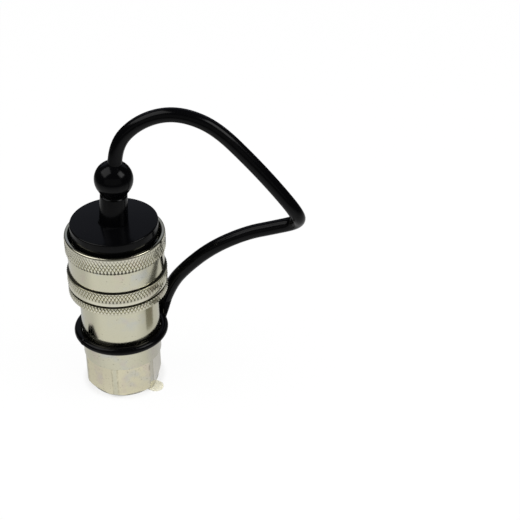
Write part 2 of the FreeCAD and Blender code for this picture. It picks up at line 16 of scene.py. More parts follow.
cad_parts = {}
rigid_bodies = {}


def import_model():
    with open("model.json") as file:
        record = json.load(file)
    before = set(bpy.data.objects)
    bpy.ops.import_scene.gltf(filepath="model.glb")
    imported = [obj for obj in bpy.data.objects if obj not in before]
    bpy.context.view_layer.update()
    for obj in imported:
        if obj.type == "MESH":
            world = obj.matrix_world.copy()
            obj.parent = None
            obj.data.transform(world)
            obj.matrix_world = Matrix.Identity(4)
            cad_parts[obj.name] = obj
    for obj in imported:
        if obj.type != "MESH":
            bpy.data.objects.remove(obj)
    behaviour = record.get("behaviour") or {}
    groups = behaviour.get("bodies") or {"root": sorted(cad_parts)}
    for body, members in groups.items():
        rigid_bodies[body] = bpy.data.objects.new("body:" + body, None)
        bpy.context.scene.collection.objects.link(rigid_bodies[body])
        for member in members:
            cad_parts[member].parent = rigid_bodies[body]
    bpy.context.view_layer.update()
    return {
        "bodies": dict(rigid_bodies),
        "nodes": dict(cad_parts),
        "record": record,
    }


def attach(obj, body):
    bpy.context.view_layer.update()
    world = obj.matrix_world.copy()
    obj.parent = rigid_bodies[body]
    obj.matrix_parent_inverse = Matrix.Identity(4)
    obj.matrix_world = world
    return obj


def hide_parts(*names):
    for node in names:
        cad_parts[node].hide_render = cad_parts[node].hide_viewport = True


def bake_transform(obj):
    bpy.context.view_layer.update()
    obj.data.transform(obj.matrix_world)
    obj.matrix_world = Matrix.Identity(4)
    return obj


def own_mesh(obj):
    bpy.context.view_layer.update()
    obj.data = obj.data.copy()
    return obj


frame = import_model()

MM = 0.001
scene = bpy.context.scene
print("bodies:", ", ".join(frame["bodies"]))

# %% [markdown]
# ## Camera
#
# A product photograph like this is taken from a short distance with a long lens, looking down at the
# object. The camera has no roll and no shift, so its pitch, its place and its lens are all it needs.

# %% Camera
CAMERA_PITCH = math.radians(35.209)
CAMERA_PLACE = Vector((54.53, -423.549, 355.075)) * MM
CAMERA_LENS, SENSOR_WIDTH = 94.379, 36

camera_data = bpy.data.cameras.new("camera")
camera_data.sensor_width = SENSOR_WIDTH
camera_data.lens = CAMERA_LENS
camera = bpy.data.objects.new("camera", camera_data)
camera.location = CAMERA_PLACE
camera.rotation_euler = (math.pi / 2 - CAMERA_PITCH, 0, 0)
scene.collection.objects.link(camera)
scene.camera = camera
print("camera", [round(value, 3) for value in camera.location], "lens", CAMERA_LENS)

# %% [markdown]
# ## Shader maths as expressions
#
# A procedural finish is arithmetic on textures. Written with nodes it is hard to read, so one small
# class wraps a socket: `1 - mask` or `grain * 0.2` adds the Math node that does it, and `add` makes any
# other node from its type, its settings and its sockets.


# %% A socket that does arithmetic
class Wire:
    """An output socket of a node tree. Arithmetic on it adds Math nodes."""

    def __init__(self, tree, socket=None):
        self.tree = tree
        self.socket = socket

    def add(self, kind, settings=None, sockets=None, output=0):
        node = self.tree.nodes.new(kind)
        for name, value in (settings or {}).items():
            setattr(node, name, value)
        for name, value in (sockets or {}).items():
            self.join(value, node.inputs[name])
        return Wire(self.tree, node.outputs[output])

    def join(self, value, target):
        if isinstance(value, Wire):
            self.tree.links.new(value.socket, target)
        else:
            target.default_value = value

    def math(self, operation, first, second):
        return self.add("ShaderNodeMath", {"operation": operation}, {0: first, 1: second})

    def __add__(self, other):
        return self.math("ADD", self, other)

    def __sub__(self, other):
        return self.math("SUBTRACT", self, other)

    def __rsub__(self, other):
        return self.math("SUBTRACT", other, self)

    def __mul__(self, other):
        return self.math("MULTIPLY", self, other)

    __radd__ = __add__
    __rmul__ = __mul__

    def above(self, low, high):
        """0 where the value is under low, 1 where it is over high, smooth between. Low may be the larger."""
        return self.add("ShaderNodeMapRange", {"interpolation_type": "SMOOTHSTEP"},
                        {"Value": self, "From Min": low, "From Max": high})

    def output(self, name):
        """Another output of the same node."""
        return Wire(self.tree, self.socket.node.outputs[name])


print("shader maths ready")

# %% [markdown]
# ## What every finish starts from
#
# Each finish is one Principled shader on Object coordinates. Noise gives it its clouds and specks, colours
# are mixed by masks, and on turned pieces the masks ask how high a point is and how far from the axis.


# %% A new finish
class Finish:
    """A new material: its shader, its Object coordinates, and the textures that finishes share."""

    def __init__(self, name, **settings):
        self.material = bpy.data.materials.new(name)
        self.material.use_nodes = True
        self.tree = self.material.node_tree
        self.shader = self.tree.nodes["Principled BSDF"]
        self.start = Wire(self.tree)
        self.place = self.start.add("ShaderNodeTexCoord", output="Object")
        for socket, value in settings.items():
            self.feed(socket.replace("_", " "), value)

    def feed(self, socket, value):
        self.start.join(value, self.shader.inputs[socket])

    def noise(self, size, detail=2.0, place=None, roughness=0.5):
        """Cloudy noise whose lumps are about that size, in metres."""
        sockets = {"Vector": place or self.place, "Scale": 1 / size, "Detail": detail, "Roughness": roughness}
        return self.start.add("ShaderNodeTexNoise", None, sockets)

    def from_axis(self):
        """How far a point is across, how high it is, and how far from the coupler's axis."""
        across = self.start.add("ShaderNodeSeparateXYZ", None, {0: self.place})
        deep = across.output("Y")
        radius = self.start.math("SQRT", across * across + deep * deep, 0.0)
        return across, across.output("Z"), radius

    def mix(self, factor, first, second):
        """One colour where the factor is 0 and the other where it is 1."""
        return self.start.add("ShaderNodeMix", {"data_type": "RGBA"},
                              {0: factor, 6: first, 7: second}, output=2)

    def bump(self, height, depth, strength=1.0):
        """Raise the surface by that height times a depth in metres."""
        normal = self.start.add("ShaderNodeBump", None,
                                {"Height": height, "Distance": depth, "Strength": strength})
        self.feed("Normal", normal)


print("finish helper ready")

# %% [markdown]
# ## Black vinyl
#
# The plug, strap and ring are moulded in soft black vinyl. It isn't quite black: it has a faint bloom
# where it has been handled, a fine moulded grain that breaks the highlights up, and a little dust.


# %% Black vinyl
def black_vinyl():
    finish = Finish("black_vinyl", IOR=1.5, Specular_IOR_Level=0.12)
    bloom = finish.noise(0.012, detail=4)
    grain = finish.noise(0.00035, detail=2)
    dust = finish.noise(0.0009, detail=3).above(0.68, 0.74)
    colour = finish.mix(bloom, (0.0008, 0.0008, 0.001, 1), (0.0018, 0.0018, 0.0022, 1))
    finish.feed("Base Color", finish.mix(dust * 0.2, colour, (0.02, 0.02, 0.02, 1)))
    finish.feed("Roughness", 0.12 + bloom * 0.08 + dust * 0.1)
    finish.bump(grain, 0.00003, 0.2)
    return finish.material


VINYL = black_vinyl()
print("made", VINYL.name)

# %% [markdown]
# ## The strap's line
#
# The strap is a round cord moulded in one with the plug's ball end and the lanyard ring. It rises out of
# the ball, arches over, folds back on itself and runs down to the ring. Its route is a short list of
# points, the same that the CAD tube follows, and they are the control points of one NURBS spline. The
# spline could carry a bevel, but it would then stay a curve, so its line is read back as points, and a
# tube of mesh is built round them.

# %% The strap's line
STRAP_DIAMETER = 5.36 * MM
STRAP_START = 7.75 * MM
STRAP_LINE_STEPS = 8
DISC_TOP = 74.1
BALL_RISE = 18.33
SHANK_LEAN = math.radians(3.45)

shank_place = Matrix.Translation((0, 0, DISC_TOP * MM)) @ Matrix.Rotation(SHANK_LEAN, 4, "Y")
BALL_CENTRE = shank_place @ Vector((0, 0, BALL_RISE * MM))
STRAP_POINTS = [Vector(point) * MM for point in (
    (2.9, 0, 107.2), (10.0, -0.4, 115.4), (19.6, -1.2, 120.0), (29.2, -2.0, 119.8), (39.5, -2.8, 114.8),
    (51.0, -3.5, 102.3), (60.3, -4.0, 91.0), (68.6, -4.0, 79.4), (69.0, 2.8, 71.6), (59.5, 4.3, 68.2),
    (49.2, 5.5, 65.0), (36.0, 7.2, 57.1), (25.4, 9.3, 46.1), (19.5, 10.8, 37.4), (17.0, 11.2, 30.4),
)]
STRAP_WAY = (STRAP_POINTS[0] - BALL_CENTRE).normalized()
STRAP_POINTS.insert(0, BALL_CENTRE + STRAP_WAY * STRAP_START)


def spline_line(name, points, resolution):
    """Points read from a NURBS spline whose control points are given."""
    curve = bpy.data.curves.new(name, "CURVE")
    curve.dimensions = "3D"
    curve.resolution_u = resolution
    spline = curve.splines.new("NURBS")
    spline.points.add(len(points) - 1)
    for control, point in zip(spline.points, points):
        control.co = (*point, 1)
    spline.order_u = 3
    spline.use_endpoint_u = True
    holder = bpy.data.objects.new(name, curve)
    scene.collection.objects.link(holder)
    line = bpy.data.meshes.new_from_object(holder)
    places = [vertex.co.copy() for vertex in line.vertices]
    bpy.data.objects.remove(holder)
    return places


strap_line = spline_line("strap_line", STRAP_POINTS, STRAP_LINE_STEPS)

# %% [markdown]
# ## From bmesh to piece
#
# Every new piece ends the same way: its normals are made to point outwards, it is shaded smooth apart
# from its sharp edges, it gets its material, rides on a CAD body if one is named, and hides the CAD node it
# replaces.

# %% Finish a piece
SHARP_ANGLE = math.radians(20)
WELD = 0.001 * MM


def mesh_object(name, shape):
    """Make a bmesh an object of the scene."""
    mesh = bpy.data.meshes.new(name)
    shape.to_mesh(mesh)
    shape.free()
    thing = bpy.data.objects.new(name, mesh)
    scene.collection.objects.link(thing)
    return thing


def make_piece(name, shape, body, node, material):
    """Finish a bmesh as a piece, riding on the named CAD body if there is one."""
    bmesh.ops.remove_doubles(shape, verts=shape.verts, dist=WELD)
    bmesh.ops.recalc_face_normals(shape, faces=shape.faces)
    piece = mesh_object(name, shape)
    piece.data.shade_smooth()
    piece.data.set_sharp_from_angle(angle=SHARP_ANGLE)
    piece.data.materials.append(material)
    if body:
        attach(piece, body)
    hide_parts(node)
    print(name, "replaces", node, "with", len(piece.data.polygons), "faces")
    return piece


print("edges sharper than", round(math.degrees(SHARP_ANGLE)), "degrees stay sharp")

# %% [markdown]
# ## The strap's tube
#
# A circle is set square to the line at each of its points, and neighbours are bridged. Each circle takes
# its turn over from the one before, so the tube doesn't twist.

# %% The strap's tube
STRAP_SIDES = 28


def square_to(way, side):
    """A turn whose Z is the way. Its X is the side, made square to the way, and is returned too."""
    side = (side - way * side.dot(way)).normalized()
    return side, Matrix((side, way.cross(side), way)).transposed().to_4x4()


def skin_rings(shape, rings, sides):
    """Bridge a row of circles, each a list of its vertices, and close both ends."""
    loops = [list({edge for vert in ring for edge in vert.link_edges}) for ring in rings]
    for before, after in zip(loops, loops[1:]):
        bmesh.ops.bridge_loops(shape, edges=before + after)
    bmesh.ops.holes_fill(shape, edges=loops[0] + loops[-1], sides=sides)


def tube(shape, line, radius, sides):
    """A closed tube round a line of points."""
    rings = []
    side = Vector((0, 1, 0))
    for index, point in enumerate(line):
        along = (line[min(index + 1, len(line) - 1)] - line[max(index - 1, 0)]).normalized()
        side, facing = square_to(along, side)
        ring = bmesh.ops.create_circle(shape, segments=sides, radius=radius,
                                       matrix=Matrix.Translation(point) @ facing)
        rings.append(ring["verts"])
    skin_rings(shape, rings, sides)


strap_shape = bmesh.new()
tube(strap_shape, strap_line, STRAP_DIAMETER / 2, STRAP_SIDES)
strap = make_piece("strap_cord", strap_shape, None, "strap", VINYL)
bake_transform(strap)

# %% [markdown]
# ## Floor
#
# The object stands on plain white. To the camera, and in the metal's reflections, the floor is mostly a
# flat white that light cannot overexpose, mixed with enough of a real white floor to keep the soft
# shadow, most of all close round the foot. In reflections the white is dimmer behind the object, and it
# ends a short way off, as a table does: that is what makes the upper side of every knurl tooth dark.

# %% White floor
FLOOR_HALF = 3.0
FLOOR_SHADOW, CONTACT_SHADOW = 0.05, 0.35
CONTACT_FAR, CONTACT_NEAR = 0.0175, 0.0145
FRONT_GLOSS, BACK_GLOSS = 0.765, 0.57
FRONT_EDGE, FRONT_FULL, FRONT_SPREAD = 0.02, -0.03, 0.5
GLOSS_NEAR, GLOSS_FAR = 0.10, 0.36


def white_floor():
    material = bpy.data.materials.new("white_floor")
    material.use_nodes = True
    tree = material.node_tree
    tree.nodes.clear()
    start = Wire(tree)
    ray = start.add("ShaderNodeLightPath")
    seen = start.math("MAXIMUM", ray, ray.output("Is Glossy Ray"))
    seen = start.math("MAXIMUM", seen, ray.output("Is Transmission Ray"))
    paint = start.add("ShaderNodeBsdfDiffuse", None, {"Color": (0.86, 0.86, 0.86, 1)})
    place = start.add("ShaderNodeTexCoord", output="Object")
    away = start.add("ShaderNodeVectorMath", {"operation": "LENGTH"}, {0: place}, output="Value")
    across = start.add("ShaderNodeSeparateXYZ", None, {0: place})
    aside = start.math("ABSOLUTE", across, 0.0) * FRONT_SPREAD
    in_front = (across.output("Y") + aside).above(FRONT_EDGE, FRONT_FULL)
    gloss = (BACK_GLOSS + in_front * (FRONT_GLOSS - BACK_GLOSS)) * away.above(GLOSS_FAR, GLOSS_NEAR)
    level = gloss + ray * (1 - gloss)
    glow = start.add("ShaderNodeEmission", None, {"Color": (1, 1, 1, 1), "Strength": level})
    shadow = FLOOR_SHADOW + away.above(CONTACT_FAR, CONTACT_NEAR) * (CONTACT_SHADOW - FLOOR_SHADOW)
    surface = start.add("ShaderNodeMixShader", None, {0: seen * (1 - shadow), 1: paint, 2: glow})
    out = tree.nodes.new("ShaderNodeOutputMaterial")
    start.join(surface, out.inputs["Surface"])
    return material


floor_shape = bmesh.new()
bmesh.ops.create_grid(floor_shape, x_segments=1, y_segments=1, size=FLOOR_HALF)
floor = mesh_object("floor", floor_shape)
floor.data.materials.append(white_floor())
print("floor", 2 * FLOOR_HALF, "m wide")

# %% [markdown]
# ## World and soft boxes
#
# Two soft boxes stand left and right above the object, as their reflections on the ball show. A third,
# overhead, only adds light: a reflection of it would show on the disc. A weak even light from all round
# fills the shadows, and in reflections it is nearly black.

# %% World
WORLD_LIGHT, WORLD_GLOSS = 0.42, 0.03


def studio_world():
    world = bpy.data.worlds.new("studio")
    world.use_nodes = True
    tree = world.node_tree
    start = Wire(tree)
    ray = start.add("ShaderNodeLightPath")
    mirrored = ray.output("Is Glossy Ray") + ray.output("Is Transmission Ray")
    level = WORLD_LIGHT + ray * (1 - WORLD_LIGHT) + mirrored * (WORLD_GLOSS - WORLD_LIGHT)
    background = tree.nodes["Background"]
    background.inputs["Color"].default_value = (1, 1, 1, 1)
    start.join(level, background.inputs["Strength"])
    scene.world = world


studio_world()
scene.view_settings.view_transform = "Standard"
print("world light", WORLD_LIGHT, "and", WORLD_GLOSS, "in reflections")

# %% Soft boxes
LIT_POINT = Vector((0.01, 0, 0.06))


def soft_box(name, place, width, height, watts):
    light = bpy.data.lights.new(name, "AREA")
    light.shape = "RECTANGLE"
    light.size = width
    light.size_y = height
    light.energy = watts
    lamp = bpy.data.objects.new(name, light)
    lamp.location = place
    lamp.rotation_euler = (LIT_POINT - Vector(place)).to_track_quat("-Z", "Y").to_euler()
    scene.collection.objects.link(lamp)
    print(name, watts, "W")
    return lamp


soft_box("soft_box_left", (-0.58, -0.135, 0.83), 0.8, 0.8, 5.0)
soft_box("soft_box_right", (0.63, -0.21, 0.64), 0.42, 0.46, 2.6)
top_box = soft_box("soft_box_top", (0.25, -0.1, 1.0), 0.7, 0.7, 4.8)
top_box.visible_glossy = False

# %% [markdown]
# ## Cards for the reflections
#
# Turned metal is drawn by what it mirrors, so a studio puts cards round it: small dark ones close by draw
# stripes down its sides, and large grey ones further off give the knurl's facets something to show. These
# glow by themselves, and only reflections see them.

# %% Studio cards
ACROSS, ALONG = 0, math.pi / 2


def studio_card(name, place, width, height, turn_angle, glow, lean=0.0, top=1.0):
    """An upright card. It can lean sideways by so much for its height, and have a narrower top."""
    shape = bmesh.new()
    bmesh.ops.create_grid(shape, x_segments=1, y_segments=1, size=0.5)
    for vert in shape.verts:
        if vert.co.y > 0:
            vert.co.x *= top
    size = Matrix(((width, lean * height, 0, 0), (0, height, 0, 0), (0, 0, 1, 0), (0, 0, 0, 1)))
    stand = Matrix.Rotation(turn_angle, 4, "Z") @ Matrix.Rotation(math.pi / 2, 4, "X")
    bmesh.ops.transform(shape, matrix=Matrix.Translation(place) @ stand @ size, verts=shape.verts)
    card = mesh_object(name, shape)
    paper = bpy.data.materials.new(name)
    paper.use_nodes = True
    shader = paper.node_tree.nodes["Principled BSDF"]
    shader.inputs["Base Color"].default_value = (0, 0, 0, 1)
    shader.inputs["Specular IOR Level"].default_value = 0
    shader.inputs["Emission Color"].default_value = (*glow, 1)
    shader.inputs["Emission Strength"].default_value = 1
    card.data.materials.append(paper)
    for sight in ("visible_camera", "visible_diffuse", "visible_shadow", "visible_transmission"):
        setattr(card, sight, False)
    print(name, [round(value / MM) for value in place], "mm")


studio_card("dark_card", (0.053, 0.005, 0.0275), 0.024, 0.025, ALONG, (0.08, 0.08, 0.072), lean=1.3)
studio_card("olive_card", (0.053, -0.003, 0.0075), 0.025, 0.015, ALONG, (0.24, 0.23, 0.19))
studio_card("left_card", (-0.03, -0.0107, 0.0133), 0.028, 0.0125, ALONG, (0.0, 0.0, 0.0), top=0.3)
studio_card("front_card", (0.0, -0.7, 0.25), 1.6, 0.5, ACROSS, (0.25, 0.25, 0.24))
studio_card("back_card", (0.0, 0.6, 0.5), 1.2, 0.5, ACROSS, (0.29, 0.31, 0.37))

# %% [markdown]
# ## Zinc plating
#
# The steel pieces are turned, then plated with zinc and passivated. The plating is a pale, warm grey
# metal with a soft gloss. The turning tool leaves fine rings round the axis, and the passivation leaves
# faint patches of yellow, pink and blue. A lilac tinge low on the hexagon's right side is a painted
# reflection. Handling rubs the knurl's crests bright. It leaves small dull specks, pits on the hexagon and
# dirt on the edges of its corner strips. The knurl's valleys are made darker. The narrow groove, the gap
# between the bands and a thin line along the hexagon's top edge are darkened with painted shade.


# %% Zinc-plated steel
def zinc_plating():
    finish = Finish("zinc_plated_steel", Metallic=1.0)
    across, up, radius = finish.from_axis()
    rings_at = finish.start.add("ShaderNodeCombineXYZ", None, {"X": radius, "Y": up})
    rings = finish.noise(0.00022, detail=3, place=rings_at)
    clouds = finish.noise(0.011, detail=3)
    patches = finish.noise(0.006, detail=2)
    specks = finish.noise(0.0011, detail=4, roughness=0.65).above(0.63, 0.71)
    low_down = up.above(0.024, 0.020)
    pits = finish.noise(0.0008, detail=3, roughness=0.6).above(0.64, 0.68) * low_down
    # painted reflection: low on the hexagon's right side the plating is tinted lilac for what that side
    # mirrors
    lilac_reflection = across.above(0.0095, 0.0125) * low_down
    # painted shade: the narrow groove and the gap between the bands are darkened and made rougher
    groove = up.above(0.05350, 0.05356) - up.above(0.0540, 0.0541)
    gap = up.above(0.0471, 0.0472) - up.above(0.0479, 0.0481)
    painted_groove_shade = (groove + gap) * (radius.above(0.0171, 0.0175) - radius.above(0.0188, 0.0190))
    knurl_crests = radius.above(0.01888, 0.01896)
    # darker in the knurl's valleys
    knurl_valleys_darker = radius.above(0.0184, 0.0185) - radius.above(0.01874, 0.01886)

    milled = finish.start.add("ShaderNodeAttribute", {"attribute_name": "milled"}, output="Fac")
    # dark edges: dirt smudges on the corner strips' edges, and painted shade along the hexagon's top edge
    edge_dirt_and_shade = finish.start.add("ShaderNodeAttribute", {"attribute_name": "edge_dirt_and_shade"}, output="Fac")
    smudge_and_shade = edge_dirt_and_shade * finish.noise(0.0016, detail=3).above(0.3, 0.7)
    dull = specks * 0.5 + smudge_and_shade * 0.6 + pits * 0.6 + knurl_valleys_darker * 0.5

    turned_tone = finish.mix(clouds, (0.71, 0.68, 0.49, 1), (0.69, 0.68, 0.56, 1))
    warm = finish.mix(milled, turned_tone, (0.80, 0.75, 0.55, 1))
    pink = finish.mix(patches.above(0.54, 0.70) * 0.5, warm, (0.70, 0.61, 0.53, 1))
    blue = finish.mix(clouds.above(0.56, 0.72) * 0.5, pink, (0.58, 0.61, 0.62, 1))
    tints_and_reflection = finish.mix(lilac_reflection * 0.4, blue, (0.62, 0.60, 0.60, 1))
    rubbed = finish.mix(knurl_crests * 0.6, tints_and_reflection, (0.84, 0.82, 0.68, 1))
    plated = finish.mix(dull, rubbed, (0.26, 0.24, 0.18, 1))
    finish.feed("Base Color", finish.mix(painted_groove_shade * 0.9, plated, (0.03, 0.028, 0.022, 1)))
    finish.feed("Roughness", 0.10 + rings * 0.06 + clouds * 0.05 + specks * 0.2 + painted_groove_shade * 0.4)
    finish.bump(rings, 0.000012, 0.35)
    return finish.material


ZINC = zinc_plating()
print("made", ZINC.name)

# %% [markdown]
# ## Turning on a lathe
#
# Most of the pieces are turned, so the main tool is a lathe: the half section is drawn as a few
# (radius, height) points in millimetres, its corners are rounded with a vertex bevel while it is still a
# wire, and one spin makes it a solid of revolution. A third number at a point is its rounding.

# %% The lathe
ROUNDING_STEPS = 6


def turn(shape, outline, steps, closed=True, place=None):
    """Spin an outline of (radius, height) or (radius, height, rounding) points, in millimetres, about Z."""
    old = set(shape.verts)
    wire = [shape.verts.new(Vector((point[0], 0, point[1])) * MM) for point in outline]
    pairs = list(zip(wire, wire[1:]))
    if closed:
        pairs.append((wire[-1], wire[0]))
    for pair in pairs:
        shape.edges.new(pair)
    for vert, point in zip(wire, outline):
        if len(point) == 3:
            bmesh.ops.bevel(shape, geom=[vert], offset=point[2] * MM, offset_type="OFFSET",
                            segments=ROUNDING_STEPS, profile=0.5, affect="VERTICES", material=-1)
    section = [vert for vert in shape.verts if vert not in old]
    lines = list({edge for vert in section for edge in vert.link_edges})
    bmesh.ops.spin(shape, geom=section + lines, cent=(0, 0, 0), axis=(0, 0, 1), angle=2 * math.pi,
                   steps=steps, use_merge=True)
    if place:
        bmesh.ops.transform(shape, matrix=place, verts=[vert for vert in shape.verts if vert not in old])
    print("turned", len(outline), "points in", steps, "steps")


print("lathe ready, with", ROUNDING_STEPS, "steps to a rounding")

# %% [markdown]
# ## Knurled bands
#
# A knurl is pressed in by two wheels whose ridges slant opposite ways, so the grooves cross and leave
# rows of small pyramids. A grid gives exactly that: every second vertex is a peak, the others lie in the
# grooves, and joining the low vertices across each square lets the grooves run on the slant. The peaks
# are then cut off with a vertex bevel, because a pressed knurl has broad blunt teeth with narrow grooves.

# %% A knurled band
TEETH = 88
CREST_SHARE = 0.7


def knurl(shape, levels):
    """Add an open knurled band and return the edges of its lowest and highest ring.

    Each level is a height, the radius in its grooves and the radius on the teeth's flat crests.
    """
    columns, rows = 2 * TEETH, len(levels) - 1
    grid = bmesh.ops.create_grid(shape, x_segments=columns, y_segments=rows, size=0.5)["verts"]
    grooves, peaks, ends = [], [], ([], [])
    for vert in grid:
        column = round((vert.co.x + 0.5) * columns)
        row = round((vert.co.y + 0.5) * rows)
        height, valley, crest = levels[row]
        raised = (column + row) % 2 == 0
        if not raised:
            grooves.append(vert)
        elif 0 < row < rows:
            peaks.append(vert)
        if row in (0, rows):
            ends[row // rows].append(vert)
        angle = math.pi * column / TEETH
        cut_off = CREST_SHARE if 0 < row < rows else 0
        radius = valley + (crest - valley) / (1 - cut_off) if raised else valley
        vert.co = Vector((math.cos(angle) * radius, math.sin(angle) * radius, height)) * MM
    bmesh.ops.connect_verts(shape, verts=grooves)
    bmesh.ops.remove_doubles(shape, verts=grid, dist=WELD)
    kept_peaks = [vert for vert in peaks if vert.is_valid]
    bmesh.ops.bevel(shape, geom=kept_peaks, offset=100 * CREST_SHARE, offset_type="PERCENT", segments=1,
                    profile=0.5, affect="VERTICES", material=-1)
    rings = []
    for end in ends:
        members = {vert for vert in end if vert.is_valid}
        rings.append([edge for edge in shape.edges if set(edge.verts) <= members])
    print("knurl:", TEETH, "teeth round,", rows, "rows,", [len(ring) for ring in rings], "edges at its ends")
    return rings


print("a knurl has", TEETH, "teeth round")

# %% [markdown]
# ## Locking sleeve
#
# The sleeve is what the hand pulls back to open the lock. Outside it has three knurled bands, with a plain
# band, a narrow groove and a gap between them. The top band's knurl runs out towards the rim, so its
# grooves get shallower.

# %% The sleeve's knurls
CREST, VALLEY = 19.0, 18.75
HALFWAY = (CREST + VALLEY) / 2
RUN_OUT = 18.98

sleeve_shape = bmesh.new()
_, tail_high = knurl(sleeve_shape, [
    (43.95, HALFWAY, HALFWAY), (44.75, VALLEY, CREST), (45.85, VALLEY, CREST), (46.95, VALLEY, CREST),
])
_, middle_high = knurl(sleeve_shape, [
    (49.3, CREST, CREST), (50.2, 18.68, CREST), (51.35, 18.67, CREST), (52.5, 18.7, CREST),
    (53.58, RUN_OUT, RUN_OUT),
])
upper_low, _ = knurl(sleeve_shape, [
    (62.6, 18.74, CREST), (63.8, 18.68, CREST), (65.0, 18.72, CREST), (66.2, 18.8, CREST),
    (67.4, 18.88, CREST), (68.7, RUN_OUT, RUN_OUT),
])

# %% [markdown]
# Inside, the sleeve has a chamber for the spring, the land that holds the balls in, and a mouth that clears
# them when the sleeve is back. The plain stretches are turned with as many steps as the knurl has columns.
# Some then meet a knurl point for point and are welded to it, and the others are bridged to it.

# %% The sleeve's plain stretches
RING_NEAR = 0.01 * MM
GAP_EDGE, GROOVE_EDGE, BAND_EDGE = (18.8, 47.1), (18.7, 53.6), (18.25, 62.4)


def ring_edges(shape, radius, height):
    """The edges of a turned ring of that radius and height, in millimetres."""
    def on_ring(vert):
        return (abs(vert.co.xy.length - radius * MM) < RING_NEAR
                and abs(vert.co.z - height * MM) < RING_NEAR)
    return [edge for edge in shape.edges if all(on_ring(vert) for vert in edge.verts)]


SLEEVE_STRETCHES = (
    [(RUN_OUT, 68.7), (18.8, 69.6, 0.45), (17.75, 69.6, 0.12), (17.1, 68.95, 0.08), (17.1, 66.2),
     (16.2, 65.6), (16.2, 63.1), (15.3, 63.1), (14.75, 62.5), (14.75, 57.6), (17.2, 57.6),
     (17.2, 43.85, 0.1), (18.65, 43.85, 0.08), (HALFWAY, 43.95)],
    [GAP_EDGE, (17.6, 47.1, 0.1), (17.6, 48.0, 0.1), (CREST, 48.0, 0.25), (CREST, 49.3)],
    [GROOVE_EDGE, (17.6, 53.6, 0.05), (17.6, 54.08, 0.05), (18.25, 54.08, 0.1), BAND_EDGE],
)
for stretch in SLEEVE_STRETCHES:
    turn(sleeve_shape, stretch, 2 * TEETH, closed=False)
for knurl_end, edge in ((tail_high, GAP_EDGE), (middle_high, GROOVE_EDGE), (upper_low, BAND_EDGE)):
    bmesh.ops.bridge_loops(sleeve_shape, edges=knurl_end + ring_edges(sleeve_shape, *edge))
make_piece("knurled_sleeve", sleeve_shape, "sleeve", "locking_sleeve", ZINC)

# %% [markdown]
# ## Socket body
#
# The body is one piece of bar, turned inside and out, with a spanner hexagon milled on its lower end and
# eight tapered pockets drilled for the balls. The hexagon is first turned as wide as its corners.

# %% The turned body
BODY_STEPS = 180
HEX_TURN = math.radians(21.5 - 90)
HEX_LOW, HEX_TOP = 0.7, 14.4
HEX_CORNER = 15.02
EDGE_BAND = 0.45
CHAMFER_FOOT, CHAMFER_RISE = 14.12, 1.0

body_shape = bmesh.new()
turn(body_shape, [
    (10.8, HEX_LOW, 0.1), (CHAMFER_FOOT, HEX_LOW), (HEX_CORNER, HEX_LOW + CHAMFER_RISE),
    (HEX_CORNER, HEX_TOP - EDGE_BAND), (HEX_CORNER, HEX_TOP), (15.25, HEX_TOP, 0.25), (15.25, 43.3, 0.35),
    (14.6, 43.3), (14.6, 63.15, 0.05), (13.65, 63.15), (13.65, 64.45), (14.6, 64.45, 0.05),
    (14.6, 68.6, 0.15), (13.8, 69.4, 0.15), (10.35, 69.4, 0.4), (10.35, 55.0, 0.1), (12.9, 55.0),
    (12.9, 50.6), (10.35, 50.6, 0.1), (10.35, 44.0), (7.0, 44.0, 0.1), (7.0, 43.0), (9.2, 40.8),
    (9.2, 18.5), (10.0, 18.5), (10.0, 17.3), (9.2, 17.3), (9.2, 16.2), (10.2, 15.2), (10.2, 2.2),
], BODY_STEPS, place=Matrix.Rotation(HEX_TURN, 4, "Z"))

# %% [markdown]
# After the spin, every point of the hexagon's rings that lies outside a flat is moved in to it, and the
# turned chamfer at the bottom cuts off its corners. Two numbers are kept at each point for the plating:
# whether it is on a milled flat, and whether it is on a dark edge: the edges of the corner strips, where
# dirt settles, and the hexagon's top edge, where the thin dark line is painted shade.

# %% The hexagon's flats
HEX_INSIDE = 13.5
SIXTH = math.pi / 3
CLOSE, CORNER_CLOSE = 0.01, 0.05


def flat_distance(vert):
    """Radius, in millimetres, at which the hexagon's flat lies in this vertex's direction."""
    angle = math.atan2(vert.co.y, vert.co.x) - HEX_TURN
    from_flat = (angle + SIXTH / 2) % SIXTH - SIXTH / 2
    return HEX_INSIDE / math.cos(from_flat)


edge_dirt_and_shade = body_shape.verts.layers.float.new("edge_dirt_and_shade")
milled = body_shape.verts.layers.float.new("milled")
for vert in body_shape.verts:
    radius, height = vert.co.xy.length / MM, vert.co.z / MM
    if HEX_INSIDE < radius < HEX_CORNER + CLOSE and height < HEX_TOP + CLOSE:
        flat = flat_distance(vert)
        reach = min(radius, flat)
        vert.co.xy *= reach / radius
        # marks the corner strips' edges, where dirt settles, and the hexagon's top edge, where a line of
        # shade is painted
        vert[edge_dirt_and_shade] = float(abs(flat - HEX_CORNER) < CORNER_CLOSE or height > HEX_TOP - CLOSE)
        vert[milled] = float(flat < HEX_CORNER + CORNER_CLOSE)
        if height < HEX_LOW + CHAMFER_RISE + CLOSE:
            share = max(0, (reach - CHAMFER_FOOT) / (HEX_CORNER - CHAMFER_FOOT))
            vert.co.z = (HEX_LOW + CHAMFER_RISE * share) * MM
print("hexagon:", 2 * HEX_INSIDE, "mm across its flats")

# %% [markdown]
# The hose port is threaded. A thread is a ridge on a helix, so a small triangle is spun six times round
# while it climbs, which leaves a ridge on the wall of the port.

# %% Port thread
THREAD_PITCH = 1.814
THREAD_TURNS = 6
THREAD_STEPS = 72
RIDGE = ((10.3, 0, 2.5), (9.3, 0, 3.3), (10.3, 0, 4.1))

